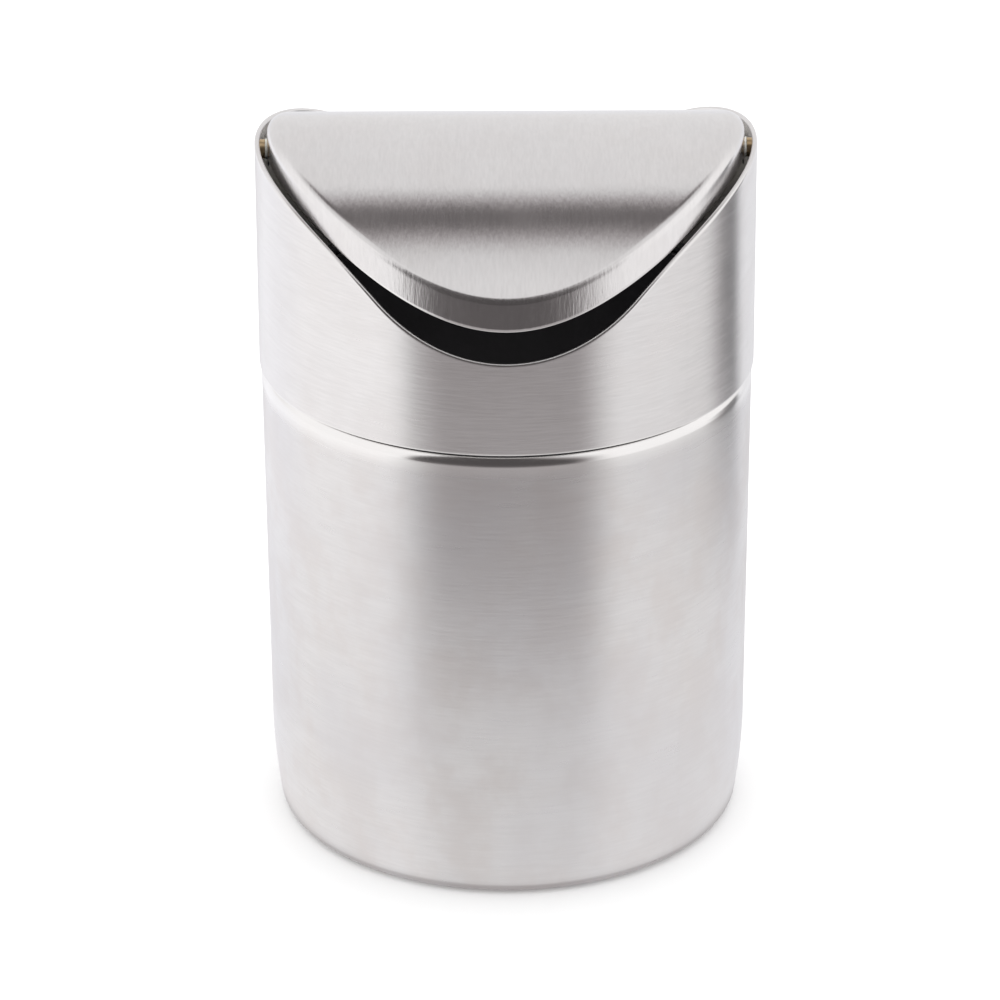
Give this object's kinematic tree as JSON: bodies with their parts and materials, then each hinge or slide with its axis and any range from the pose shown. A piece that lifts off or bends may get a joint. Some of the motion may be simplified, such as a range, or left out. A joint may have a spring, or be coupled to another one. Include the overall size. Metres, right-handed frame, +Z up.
{
  "type": "wastebasket",
  "caption": "Small round steel waste bin with a plastic liner, a lift-off collar with a scooped mouth, and an arched lid that swings freely to let litter in.",
  "frame": {"origin": "centre of the underside, on the surface that the bin stands on", "axes": "+Z up, -Y towards the front of the bin, X along the axis that the lid swings about"},
  "size_m": [0.12, 0.1203, 0.18],
  "materials": {
    "body_steel": "satin, brushed round the body",
    "collar_steel": "satin, brushed round the collar",
    "lid_steel": "satin, brushed from front to back",
    "base_steel": "mill finish",
    "stud_steel": "turned",
    "spacer_brass": "satin",
    "bush_plastic": "natural nylon",
    "liner_plastic": "fine matt texture",
    "ring_plastic": "smooth matt",
    "pad_rubber": "matt foam rubber"
  },
  "bodies": {
    "bin": {"body_shell": "body_steel", "base_plate": "base_steel", "base_pad": "pad_rubber"},
    "liner": {"liner_bucket": "liner_plastic"},
    "collar": {"collar_shell": "collar_steel", "collar_guide_ring": "ring_plastic", "pivot_stud_left": "stud_steel", "pivot_stud_right": "stud_steel", "pivot_spacer_left": "spacer_brass", "pivot_spacer_right": "spacer_brass", "pivot_cap_left": "stud_steel", "pivot_cap_right": "stud_steel"},
    "lid": {"lid_shell": "lid_steel", "lid_bush_left": "bush_plastic", "lid_bush_right": "bush_plastic"}
  },
  "joints": [
    {"name": "collar_lift", "type": "slide", "parent": "bin", "child": "collar", "axis": [0, 0, 1], "range_m": [0, 0.2]},
    {"name": "liner_lift", "type": "slide", "parent": "bin", "child": "liner", "axis": [0, 0, 1], "range_m": [0, 0.1]},
    {"name": "lid_swing", "type": "hinge", "parent": "collar", "child": "lid", "pos_m": [0, 0, 0.1725], "axis": [1, 0, 0], "range_deg": [-72.5, 87.5]}
  ],
  "couplings": [
    {"joint": "liner_lift", "follows": "collar_lift", "ratio": 0.5}
  ]
}
